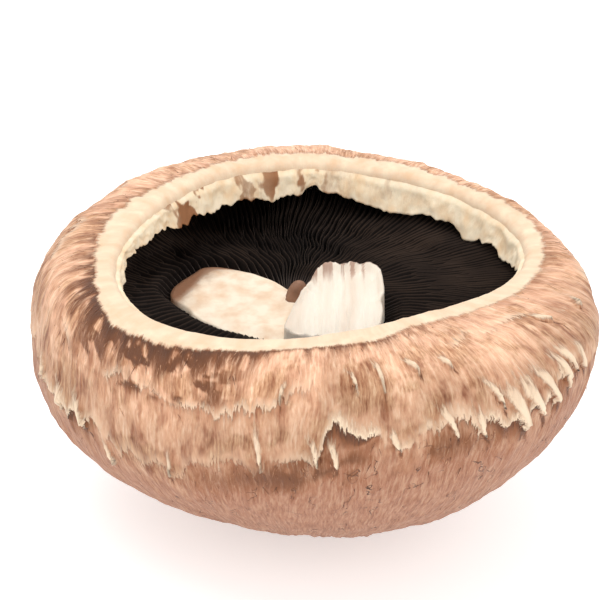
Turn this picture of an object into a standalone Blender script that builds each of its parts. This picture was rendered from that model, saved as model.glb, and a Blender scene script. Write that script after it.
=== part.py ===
"""A portobello mushroom lying on its cap, gills up, with a snapped-off stem.

Run with: blender --background --python part.py
Units are metres, +Z up. The mushroom rests on the flattened crown of its cap at z = 0, and the origin
is the middle of its footprint. -Y is the front, where the rim dips towards the viewer.
Bearings are in degrees, counter-clockwise from +X as seen from above.
"""

import math

import bmesh
import bpy

MM = 0.001

# Cap: the dome below the widest line, and the shoulder that rolls in from there to the rim.
CAP_RADIUS = 55.5 * MM
WIDEST_HEIGHT = 40.0 * MM
DOME_ROUNDNESS = 1.8  # superellipse exponents: 2 is an ellipse, more is squarer
SHOULDER_ROUNDNESS = 2.9
CROWN_FLAT = 1.0 * MM  # how much of the crown is pressed flat
RIM_RADIUS = 41.0 * MM
RIM_HEIGHT = 56.4 * MM
RIM_ROLL = 2.3 * MM  # radius of the rolled rim's nose
WALL = 7.0 * MM  # flesh between the skin and the gill chamber
UNDERCUT = 1.5 * MM  # the chamber always reaches at least this far under the rim

# Uneven growth: (waves round the cap, how far, bearing of the first crest).
CAP_WAVES = ((2, 2.2 * MM, -55.0), (3, 1.7 * MM, -46.0))
WIDEST_WAVES = ((1, 5.8 * MM, -8.0),)
RIM_WAVES = ((1, 1.2 * MM, -51.0), (2, 4.8 * MM, 43.0), (3, 1.2 * MM, 0.0))
RIM_HEIGHT_WAVES = ((1, 2.8 * MM, 150.0), (2, 1.1 * MM, 116.0))

# Gill chamber and gills.
BED_HEIGHT = 34.0 * MM  # flesh that the gills grow from
GILL_CENTRE = (-4.5 * MM, 3.0 * MM)  # where the gills would meet
GILL_HEIGHT = 45.0 * MM  # free edges near the stem
MARGIN_DROP = 7.5 * MM  # free edges at the margin, below the rim
MARGIN_RISE = 4.0  # the higher, the later the gills turn up towards the margin
GILL_RIDGES = 72
GROOVE = 5.0 * MM
GILL_SHARES = (0.0, 0.08, 0.25, 0.45, 0.62, 0.78, 0.9, 1.0)  # points from the stem to the margin
GROOVE_FADE = 0.4  # share of the gill over which the grooves run out at the margin

# Stem: reach of its broken base from the gill centre, by bearing.
STEM_REACH = (
    (-40.0, 22.5 * MM), (-15.0, 20.5 * MM), (15.0, 13.0 * MM), (60.0, 3.5 * MM),
    (112.0, 3.5 * MM), (150.0, 22.5 * MM), (174.0, 24.5 * MM), (195.0, 20.5 * MM),
    (216.0, 18.0 * MM), (240.0, 16.5 * MM), (270.0, 17.5 * MM), (300.0, 20.5 * MM),
)  # fmt: skip
BASE_TOP = 44.5 * MM
# The base's rounded edge: (share of its reach, drop below its top).
BASE_EDGE = ((1.0, 2.5 * MM), (0.94, 0.8 * MM), (0.8, 0.2 * MM), (0.45, 0.0))
STUMP_CENTRE = (4.0 * MM, -4.5 * MM)
STUMP_RADII = (9.6 * MM, 8.6 * MM)
STUMP_TAPER = 0.86  # width at the break as a share of the width at the bed
STUMP_SHARES = (0.0, 0.35, 0.7, 0.92, 1.0)  # its rings, from the bed to the break
STUMP_EDGE = 0.93  # the break's worn edge, as a share of its width
STUMP_ROOT = 2.0 * MM  # its foot stands this far above the bed, inside the base
STUMP_TOP = 46.8 * MM  # middle of the slanting break
STUMP_SLANT = 36.0  # degrees, the break faces the front

# Torn veil round the inside of the rim.
VEIL_THICKNESS = 1.0 * MM
VEIL_SHORT = 1.8 * MM
VEIL_LONG = 5.2 * MM
VEIL_LONG_BEARING = 100.0
VEIL_TUCK = 0.8 * MM  # how far its root reaches above the nose's innermost line
VEIL_LEAN = 1.6 * MM
VEIL_BEND = 0.4  # share of its length that hangs straight
VEIL_FADE = 1.5  # the higher, the sooner it shortens to either side

GAP = 0.4 * MM

# How finely the shapes are divided.
CAP_SPANS = 72
DOME_STEPS = 10
SHOULDER_STEPS = 7
NOSE_STEPS = 4
CHAMBER_STEPS = 10
GILL_BACK_STEPS = 6
STUMP_SPANS = 32


def waves(bearing, table):
    """Sum of the cosine waves in table at this bearing, in radians."""
    return sum(size * math.cos(n * (bearing - math.radians(crest))) for n, size, crest in table)


def mix(a, b, share):
    return a + (b - a) * share


def ease(share):
    """0 to 1 with level ends."""
    share = min(1.0, max(0.0, share))
    return share * share * (3 - 2 * share)


def bearings(count):
    return [2 * math.pi * i / count for i in range(count)]


def polar(bearing, radius, height, centre=(0.0, 0.0)):
    return (centre[0] + radius * math.cos(bearing), centre[1] + radius * math.sin(bearing), height)


class Section:
    """The cap's cross-section at one bearing. Heights are above the floor."""

    def __init__(self, bearing):
        self.bearing = bearing
        self.radius = CAP_RADIUS + waves(bearing, CAP_WAVES)
        self.widest = WIDEST_HEIGHT + waves(bearing, WIDEST_WAVES)
        self.rim = RIM_RADIUS + waves(bearing, RIM_WAVES)
        self.rim_height = RIM_HEIGHT + waves(bearing, RIM_HEIGHT_WAVES)
        self.chamber_top = self.rim_height - 2 * RIM_ROLL
        self.undercut = math.hypot(max(0.0, self.radius - WALL - self.rim), UNDERCUT)

    def dome(self, share):
        """From the edge of the flat crown, at 0, to the widest line, at 1."""
        start = math.acos((1 - CROWN_FLAT / self.widest) ** (DOME_ROUNDNESS / 2))
        turn = mix(start, math.pi / 2, share)
        radius = self.radius * math.sin(turn) ** (2 / DOME_ROUNDNESS)
        height = self.widest * (1 - max(0.0, math.cos(turn)) ** (2 / DOME_ROUNDNESS))
        return radius, height

    def shoulder(self, share):
        """From the widest line, at 0, to the top of the rim, at 1."""
        turn = share * math.pi / 2
        radius = mix(self.rim, self.radius, max(0.0, math.cos(turn)) ** (2 / SHOULDER_ROUNDNESS))
        height = mix(self.widest, self.rim_height, math.sin(turn) ** (2 / SHOULDER_ROUNDNESS))
        return radius, height

    def nose(self, share):
        """Round the rim's nose, from its top to its underside."""
        turn = share * math.pi
        radius = self.rim - RIM_ROLL * math.sin(turn)
        return radius, self.rim_height - RIM_ROLL * (1 - math.cos(turn))

    def chamber(self, turn, inset=0.0):
        """Half an ellipse that undercuts the rim: turn runs from 0 at its top to pi at the bed."""
        middle = (self.chamber_top + BED_HEIGHT) / 2
        across = self.undercut - inset
        half = (self.chamber_top - BED_HEIGHT) / 2 - inset
        return self.rim + across * math.sin(turn), middle + half * math.cos(turn)

    def margin_turn(self, inset):
        """The chamber turn at which the gills' free edges meet the wall."""
        middle = (self.chamber_top + BED_HEIGHT) / 2
        half = (self.chamber_top - BED_HEIGHT) / 2 - inset
        return math.acos((self.rim_height - MARGIN_DROP - middle) / half)


def stem_reach(bearing):
    """Reach of the stem's base from the gill centre, eased between the stated bearings."""
    first = STEM_REACH[0][0]
    degrees = (math.degrees(bearing) - first) % 360.0 + first
    table = STEM_REACH + ((first + 360.0, STEM_REACH[0][1]),)
    for (a, near), (b, far) in zip(table, table[1:]):
        if a <= degrees <= b:
            return mix(near, far, ease((degrees - a) / (b - a)))
    raise ValueError(f"no reach for {degrees}")


def clear_of_stem(bearing):
    """The reach that keeps the gap square to the stem's outline."""
    step = math.radians(0.5)
    reach = stem_reach(bearing)
    slope = (stem_reach(bearing + step) - stem_reach(bearing - step)) / (2 * step)
    return reach + GAP * math.hypot(1.0, slope / reach)


def loft(name, rings, closed=False):
    """A solid through rings of points. It is capped at both ends, or closed into a ring."""
    mesh_builder = bmesh.new()
    loops = [[mesh_builder.verts.new(point) for point in ring] for ring in rings]
    pairs = list(zip(loops, loops[1:]))
    if closed:
        pairs.append((loops[-1], loops[0]))
    for lower, upper in pairs:
        for i in range(len(lower)):
            j = (i + 1) % len(lower)
            mesh_builder.faces.new((lower[i], lower[j], upper[j], upper[i]))
    if not closed:
        mesh_builder.faces.new(reversed(loops[0]))
        mesh_builder.faces.new(loops[-1])
    bmesh.ops.recalc_face_normals(mesh_builder, faces=mesh_builder.faces)
    mesh = bpy.data.meshes.new(name)
    mesh_builder.to_mesh(mesh)
    mesh_builder.free()
    mesh.shade_smooth()
    thing = bpy.data.objects.new(name, mesh)
    bpy.context.scene.collection.objects.link(thing)
    return thing


def set_material(thing, name, colour, roughness):
    material = bpy.data.materials.new(name)
    material.use_nodes = True
    shader = material.node_tree.nodes["Principled BSDF"]
    shader.inputs["Base Color"].default_value = (*colour, 1.0)
    shader.inputs["Roughness"].default_value = roughness
    shader.inputs["Metallic"].default_value = 0.0
    thing.data.materials.append(material)


def build_cap():
    """The flesh and skin as one bowl, from the flat crown over the rim to the gill bed."""
    sections = [Section(bearing) for bearing in bearings(CAP_SPANS)]
    profiles = []
    for section in sections:
        flat_radius, flat_height = section.dome(0.0)
        profile = [(flat_radius / 2, flat_height)]
        profile += [section.dome(i / DOME_STEPS) for i in range(DOME_STEPS)]
        profile += [section.shoulder(i / SHOULDER_STEPS) for i in range(SHOULDER_STEPS)]
        profile += [section.nose(i / NOSE_STEPS) for i in range(NOSE_STEPS)]
        profile += [section.chamber(math.pi * i / CHAMBER_STEPS) for i in range(CHAMBER_STEPS + 1)]
        profile.append((section.rim / 2, BED_HEIGHT))
        profiles.append(profile)
    rings = [
        [polar(section.bearing, *profile[row]) for section, profile in zip(sections, profiles)]
        for row in range(len(profiles[0]))
    ]
    cap = loft("cap", rings)
    set_material(cap, "brown cap skin", (0.52, 0.33, 0.22), 0.7)
    return cap


def gill_ring(index, count):
    """One bearing's closed outline of the gill mass: free edge, margin, bed and inner end."""
    bearing = 2 * math.pi * index / count
    section = Section(bearing)
    inner = polar(bearing, clear_of_stem(bearing), 0.0, GILL_CENTRE)
    top_turn = section.margin_turn(GAP)
    margin_radius, margin_height = section.chamber(top_turn, GAP)
    margin = polar(bearing, margin_radius, 0.0)
    groove = GROOVE * (index % 2)
    points = []
    for share in GILL_SHARES:
        height = mix(GILL_HEIGHT, margin_height, share**MARGIN_RISE)
        height -= groove * ease((1 - share) / GROOVE_FADE)
        points.append((mix(inner[0], margin[0], share), mix(inner[1], margin[1], share), height))
    for i in range(1, GILL_BACK_STEPS + 1):
        turn = mix(top_turn, math.pi, i / GILL_BACK_STEPS)
        points.append(polar(bearing, *section.chamber(turn, GAP)))
    bed = BED_HEIGHT + GAP
    points.append((mix(points[-1][0], inner[0], 0.5), mix(points[-1][1], inner[1], 0.5), bed))
    points.append((inner[0], inner[1], bed))
    return points


def build_gills():
    """The ring of gills, as radial ridges on a shared root that fills the chamber's floor."""
    count = 2 * GILL_RIDGES
    outlines = [gill_ring(i, count) for i in range(count)]
    rings = [[outline[row] for outline in outlines] for row in range(len(outlines[0]))]
    gills = loft("gills", rings, closed=True)
    set_material(gills, "dark spore-brown gills", (0.045, 0.028, 0.022), 0.75)
    return gills


def build_stem():
    """The broad broken base and the slanting stump on it, joined into one solid."""
    turns = bearings(2 * GILL_RIDGES)
    levels = [(1.0, BED_HEIGHT + GAP)] + [(share, BASE_TOP - drop) for share, drop in BASE_EDGE]
    rings = [[polar(t, stem_reach(t) * share, height, GILL_CENTRE) for t in turns] for share, height in levels]
    stem = loft("stem", rings)

    slope = math.tan(math.radians(STUMP_SLANT))
    rings = []
    for share in STUMP_SHARES:
        narrow = mix(1.0, STUMP_TAPER, share) * (STUMP_EDGE if share == 1.0 else 1.0)
        ring = []
        for turn in bearings(STUMP_SPANS):
            x = STUMP_CENTRE[0] + STUMP_RADII[0] * narrow * math.cos(turn)
            y = STUMP_CENTRE[1] + STUMP_RADII[1] * narrow * math.sin(turn)
            top = STUMP_TOP + slope * (y - STUMP_CENTRE[1])
            ring.append((x, y, mix(BED_HEIGHT + STUMP_ROOT, top, share)))
        rings.append(ring)
    stump = loft("stump_joined", rings)
    stump.hide_render = True
    stump.display_type = "WIRE"
    union = stem.modifiers.new("join stump", "BOOLEAN")
    union.operation = "UNION"
    union.solver = "EXACT"
    union.object = stump
    set_material(stem, "white stem flesh", (0.88, 0.78, 0.66), 0.65)
    return stem


def veil_length(bearing):
    """Longest at the back, where the veil tore away last."""
    facing = (1 + math.cos(bearing - math.radians(VEIL_LONG_BEARING))) / 2
    return mix(VEIL_SHORT, VEIL_LONG, facing**VEIL_FADE)


def build_veil():
    """The torn veil as a thin curtain all round, just inside the rim's nose."""
    outlines = []
    for bearing in bearings(CAP_SPANS):
        section = Section(bearing)
        length = veil_length(bearing)
        lean = VEIL_LEAN * length / VEIL_LONG
        outer = section.rim - RIM_ROLL - GAP
        root = section.rim_height - RIM_ROLL
        outlines.append([
            polar(bearing, outer, root + VEIL_TUCK),
            polar(bearing, outer, root - VEIL_BEND * length),
            polar(bearing, outer - lean, root - length),
            polar(bearing, outer - lean - VEIL_THICKNESS, root - length),
            polar(bearing, outer - VEIL_THICKNESS, root - VEIL_BEND * length),
            polar(bearing, outer - VEIL_THICKNESS, root + VEIL_TUCK),
        ])
    rings = [[outline[row] for outline in outlines] for row in range(len(outlines[0]))]
    veil = loft("veil", rings, closed=True)
    set_material(veil, "cream veil tissue", (0.86, 0.72, 0.52), 0.8)
    return veil


def settle(things, cap):
    """Puts the crown's flat at z = 0 and the middle of the footprint at the origin."""
    xs = [vertex.co.x for vertex in cap.data.vertices]
    ys = [vertex.co.y for vertex in cap.data.vertices]
    shift = (-(min(xs) + max(xs)) / 2, -(min(ys) + max(ys)) / 2, -CROWN_FLAT)
    for thing in things:
        for vertex in thing.data.vertices:
            vertex.co.x += shift[0]
            vertex.co.y += shift[1]
            vertex.co.z += shift[2]


def main():
    for thing in list(bpy.data.objects):
        bpy.data.objects.remove(thing, do_unlink=True)
    cap = build_cap()
    gills = build_gills()
    stem = build_stem()
    veil = build_veil()
    settle([cap, gills, stem, veil, bpy.data.objects["stump_joined"]], cap)


main()
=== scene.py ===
import math

import bpy
import numpy as np
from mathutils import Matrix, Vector


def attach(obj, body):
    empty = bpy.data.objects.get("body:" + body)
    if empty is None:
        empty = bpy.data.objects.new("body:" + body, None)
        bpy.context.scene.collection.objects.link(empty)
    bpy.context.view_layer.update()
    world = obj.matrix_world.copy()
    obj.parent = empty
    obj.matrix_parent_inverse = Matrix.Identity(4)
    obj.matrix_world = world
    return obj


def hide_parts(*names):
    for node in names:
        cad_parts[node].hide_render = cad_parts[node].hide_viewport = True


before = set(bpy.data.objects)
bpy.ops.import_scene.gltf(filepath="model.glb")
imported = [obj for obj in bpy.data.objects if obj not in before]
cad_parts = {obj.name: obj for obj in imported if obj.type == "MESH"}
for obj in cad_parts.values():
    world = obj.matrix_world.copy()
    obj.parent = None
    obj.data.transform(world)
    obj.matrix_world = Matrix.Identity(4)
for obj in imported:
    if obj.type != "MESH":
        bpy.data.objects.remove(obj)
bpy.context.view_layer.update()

bl_info = {
    "name": "Portobello mushroom",
    "version": (1, 0, 0),
    "blender": (4, 5, 0),
    "location": "View3D > Sidebar > Mushroom",
    "description": "Grows an upturned portobello mushroom with torn skin, gills, veil and a snapped stem",
    "category": "Add Mesh",
}

# Everything is worked out in millimetres and turned to metres when a mesh is made. Bearings are in
# degrees, counter-clockwise from +X seen from above, and -Y (-90) is the front. "Down" is the
# distance along the skin from the top of the rim, outwards and down to the crown.
MM = 0.001
SEED = 11

# The cap as it grew, before it was centred on its footprint. These are the solid's own dimensions.
CAP_RADIUS = 55.5
WIDEST_HEIGHT = 40.0
DOME_ROUNDNESS = 1.8
SHOULDER_ROUNDNESS = 2.9
CROWN_FLAT = 1.0
RIM_RADIUS = 41.0
RIM_HEIGHT = 56.4
RIM_ROLL = 2.3
RIM_FLAT = 1.8  # the rim's top is this much wider at the front
WALL = 7.0
UNDERCUT = 1.5
CAP_WAVES = ((2, 2.2, -55.0), (3, 1.7, -46.0))
WIDEST_WAVES = ((1, 5.8, -8.0),)
RIM_WAVES = ((1, 1.2, -51.0), (2, 4.8, 43.0), (3, 1.2, 0.0))
RIM_HEIGHT_WAVES = ((1, 2.8, 150.0), (2, 1.1, 116.0))
BED_HEIGHT = 34.0
GILL_CENTRE = (-4.5, 3.0)
GILL_HEIGHT = 45.0
MARGIN_DROP = 7.5
MARGIN_RISE = 4.0
STEM_REACH = (
    (-40.0, 21.0), (-15.0, 17.0), (15.0, 10.5), (60.0, 3.5), (110.0, 3.5), (148.0, 22.5),
    (174.0, 24.5), (195.0, 20.5), (216.0, 18.0), (240.0, 16.5), (270.0, 17.5), (300.0, 20.5),
)  # fmt: skip
PLACE = np.array((0.64, -0.80, -1.0))  # from there to the centre of the footprint on the floor

# Where the smooth cream rim ends and the skin's dark fringe starts: (bearing, down).
CREAM_EDGE = (
    (-161, 0.9), (-151, 1.3), (-137, 3.7), (-123, 3.3), (-109, 2.5), (-94, 2.2), (-75, 3.1), (-62, 1.5),
    (-42, 2.0), (-23, 2.3), (-2, 1.4), (6, 1.2), (27, 2.2), (45, 0.8), (64, 2.6), (95, 2.2), (125, 1.8),
    (150, 2.4), (165, 4.0), (185, 2.0),
)  # fmt: skip
# How far the fringe reaches and how dark it is: (bearing, reach, darkness).
FRINGE = (
    (-170, 7.0, 0.75), (-150, 8.0, 1.0), (-130, 9.0, 1.0), (-112, 6.0, 1.0), (-95, 3.5, 0.85),
    (-75, 4.0, 0.8), (-60, 5.0, 0.65), (-40, 5.0, 0.4), (-20, 6.0, 0.55), (5, 7.0, 0.6), (30, 5.0, 0.5),
    (90, 4.0, 0.55), (130, 5.0, 0.6), (160, 6.0, 0.65),
)  # fmt: skip
# The belt where the skin has torn from stretching: (bearing, down, how badly torn).
BELT = (
    (-175, 24.0, 0.35), (-158, 24.5, 0.8), (-149, 25.5, 1.0), (-142, 24.0, 0.9), (-132, 28.0, 0.3),
    (-120, 27.5, 0.25), (-108, 25.0, 0.2), (-98, 25.0, 0.4), (-90, 24.0, 0.8), (-86, 19.5, 1.0),
    (-80, 21.5, 1.0), (-75, 26.0, 0.9), (-66, 27.0, 0.55), (-58, 29.5, 0.8), (-50, 31.0, 1.0),
    (-43, 28.0, 1.0), (-33, 24.0, 0.7), (-18, 21.0, 0.3), (10, 22.0, 0.25), (45, 24.0, 0.45),
    (80, 26.0, 0.2), (120, 25.0, 0.5), (150, 27.0, 0.3),
)  # fmt: skip
# Peeled strips of skin: (bearing and down of the root, bearing and down of the tip, width).
STRIPS = (
    (-56.0, 19.0, -50.5, 32.0, 4.6), (-51.5, 18.5, -46.0, 31.0, 4.4), (-47.0, 18.0, -42.0, 29.5, 4.0),
    (-43.0, 17.0, -39.0, 27.0, 3.4), (-39.0, 16.5, -36.0, 25.0, 3.0), (-35.0, 17.5, -32.5, 25.0, 3.0),
    (-63.0, 22.0, -59.0, 31.0, 2.4), (-59.0, 17.5, -55.5, 26.5, 2.0), (-68.0, 19.0, -64.5, 29.0, 2.2),
    (-35.5, 8.5, -32.5, 14.0, 2.6), (-17.5, 9.0, -21.2, 14.0, 1.8), (-77.5, 7.0, -77.0, 16.5, 1.5),
    (-83.5, 8.5, -82.0, 15.0, 1.3), (-76.5, 21.0, -74.8, 28.0, 2.0), (-91.0, 18.5, -89.5, 27.0, 1.8),
    (-86.5, 19.0, -86.0, 28.0, 2.0), (-101.0, 12.5, -100.0, 26.5, 1.6),
    (-120.3, 22.0, -120.8, 30.0, 1.3), (-161.0, 20.0, -157.0, 26.0, 1.8), (-153.5, 20.0, -149.5, 27.0, 2.6),
    (-146.5, 18.5, -141.5, 26.5, 2.6), (-136.5, 25.0, -136.2, 32.5, 1.4), (-71.0, 9.0, -69.5, 15.0, 2.0),
    (-64.0, 11.0, -62.5, 16.0, 2.0), (-96.0, 8.0, -96.5, 13.5, 1.6),
)  # fmt: skip

CAP_COLUMNS = 780
WEAVE_RADIUS = 50.0  # the skin's pattern is laid round a cylinder of this radius


def waves(bearing, table):
    """Sum of the cosine waves in table at these bearings, in radians."""
    return sum(size * np.cos(n * (bearing - math.radians(crest))) for n, size, crest in table)


def round_table(bearing, table, column=1):
    """Reads a table of (bearing, value, ...) rows all the way round, in straight steps."""
    rows = sorted((row[0] % 360.0, row[column]) for row in table)
    at = np.array([row[0] for row in rows])
    value = np.array([row[1] for row in rows])
    return np.interp(np.degrees(bearing) % 360.0, at, value, period=360.0)


def soft_step(low, high, value):
    share = np.clip((value - low) / (high - low), 0.0, 1.0)
    return share * share * (3 - 2 * share)


def mix(a, b, share):
    return a + (b - a) * share


def noise(points, seed):
    """Smooth noise from 0 to 1, one cell per unit."""
    cell = np.floor(points).astype(np.int64)
    part = points - cell
    part = part * part * (3 - 2 * part)
    total = 0.0
    for corner in np.ndindex(2, 2, 2):
        spot = cell + np.array(corner)
        mixed = spot[..., 0] * 374761393 + spot[..., 1] * 668265263 + spot[
            ..., 2
        ] * 1440662683 + seed * 974711
        mixed &= 0xFFFFFFFF
        mixed = ((mixed ^ (mixed >> 13)) * 1274126177) & 0xFFFFFFFF
        value = ((mixed ^ (mixed >> 16)) & 0xFFFF) / 65535.0
        weight = np.prod(np.where(np.array(corner) == 1, part, 1 - part), axis=-1)
        total = total + value * weight
    return total


def rough(points, seed, layers=3):
    """Layered noise from 0 to 1."""
    total, size, whole = 0.0, 1.0, 0.0
    for layer in range(layers):
        total = total + size * noise(points * 2.0**layer + 17.3 * layer, seed + layer)
        whole += size
        size *= 0.5
    return total / whole


def linear(code):
    """An sRGB hex colour as linear red, green and blue."""
    if not isinstance(code, str):
        return tuple(code)
    levels = [int(code[i : i + 2], 16) / 255 for i in (1, 3, 5)]
    return tuple(v / 12.92 if v <= 0.04045 else ((v + 0.055) / 1.055) ** 2.4 for v in levels)


def inner_rim(bearing):
    """Radius of the inner edge of the rim's top."""
    facing = (1 - np.sin(bearing)) / 2
    return RIM_RADIUS + waves(bearing, RIM_WAVES) - RIM_FLAT * facing**1.5


def cap_lines(bearing):
    """Widest radius, its height, the rim's radius and the rim's height."""
    return (
        CAP_RADIUS + waves(bearing, CAP_WAVES),
        WIDEST_HEIGHT + waves(bearing, WIDEST_WAVES),
        RIM_RADIUS + waves(bearing, RIM_WAVES),
        RIM_HEIGHT + waves(bearing, RIM_HEIGHT_WAVES),
    )


def skin_line(bearing, shares):
    """Radius, height and down at these shares of the way from the rim's top to the crown's flat."""
    radius, widest, rim, top = (line[:, None] for line in cap_lines(bearing))
    turn = np.linspace(math.pi / 2, 0, 240)[None, :]
    shoulder_r = rim + (radius - rim) * np.clip(np.cos(turn), 0, 1) ** (2 / SHOULDER_ROUNDNESS)
    shoulder_z = widest + (top - widest) * np.sin(turn) ** (2 / SHOULDER_ROUNDNESS)
    last = np.arccos((1 - CROWN_FLAT / widest) ** (DOME_ROUNDNESS / 2))
    turn = mix(math.pi / 2, last, np.linspace(0, 1, 360)[None, :])
    dome_r = radius * np.sin(turn) ** (2 / DOME_ROUNDNESS)
    dome_z = widest * (1 - np.clip(np.cos(turn), 0, 1) ** (2 / DOME_ROUNDNESS))
    r = np.concatenate([shoulder_r, dome_r[:, 1:]], 1)
    z = np.concatenate([shoulder_z, dome_z[:, 1:]], 1)
    steps = np.hypot(np.diff(r), np.diff(z))
    down = np.concatenate([np.zeros((len(bearing), 1)), np.cumsum(steps, 1)], 1)
    at = shares[None, :] * down[:, -1:]
    r = np.array([np.interp(a, d, v) for a, d, v in zip(at, down, r)])
    z = np.array([np.interp(a, d, v) for a, d, v in zip(at, down, z)])
    return r.T, z.T, at.T


def round_points(bearing, r, z, centre=(0.0, 0.0)):
    """Points in the row frame, in millimetres, from radii and heights."""
    flat = np.broadcast_arrays(centre[0] + r * np.cos(bearing), centre[1] + r * np.sin(bearing), z)
    return np.stack(flat, -1) + PLACE


def grid_normals(points):
    """Unit normals of a grid whose columns run round and whose rows run outwards and down."""
    across = np.roll(points, -1, 1) - np.roll(points, 1, 1)
    along = np.gradient(points, axis=0)
    normal = np.cross(along, across)
    return normal / np.maximum(np.linalg.norm(normal, axis=-1, keepdims=True), 1e-9)


def grid_object(name, points, fields, closed_ends=True):
    """A grid that closes round into itself, with its first and last rows filled."""
    rows, columns = points.shape[:2]
    index = np.arange(rows * columns).reshape(rows, columns)
    after = np.roll(index, -1, 1)
    faces = np.stack([index[:-1], after[:-1], after[1:], index[1:]], -1).reshape(-1, 4).tolist()
    if closed_ends:
        faces.append(index[0].tolist()[::-1])
        faces.append(index[-1].tolist())
    return mesh_object(name, points.reshape(-1, 3), faces, fields)


def mesh_object(name, points, faces, fields=None):
    mesh = bpy.data.meshes.new(name)
    mesh.from_pydata((points * MM).tolist(), [], faces)
    for field, values in (fields or {}).items():
        values = np.asarray(values, np.float32)
        wide = values.shape[-1] == 3 and values.size == 3 * len(mesh.vertices)
        layer = mesh.attributes.new(field, "FLOAT_VECTOR" if wide else "FLOAT", "POINT")
        layer.data.foreach_set("vector" if wide else "value", values.ravel())
    mesh.shade_smooth()
    thing = bpy.data.objects.new(name, mesh)
    bpy.context.scene.collection.objects.link(thing)
    return thing


def add(tree, kind, inputs=None, **settings):
    """Adds a node, sets it up, and links or sets each named input."""
    node = tree.nodes.new(kind)
    for key, value in settings.items():
        setattr(node, key, value)
    for key, value in (inputs or {}).items():
        if isinstance(value, bpy.types.NodeSocket):
            tree.links.new(value, node.inputs[key])
        else:
            node.inputs[key].default_value = value
    return node


def set_stops(ramp, stops):
    """Gives a colour ramp these (place, colour or grey level) stops."""
    elements = ramp.color_ramp.elements
    while len(elements) < len(stops):
        elements.new(0.5)
    for element, (place, level) in zip(elements, stops):
        element.position = place
        rgb = (level,) * 3 if isinstance(level, float) else linear(level)
        element.color = (*rgb, 1.0)
    return ramp.outputs["Color"]


def new_material(name):
    material = bpy.data.materials.new(name)
    material.use_nodes = True
    tree = material.node_tree
    return material, tree, tree.nodes["Principled BSDF"]


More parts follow.
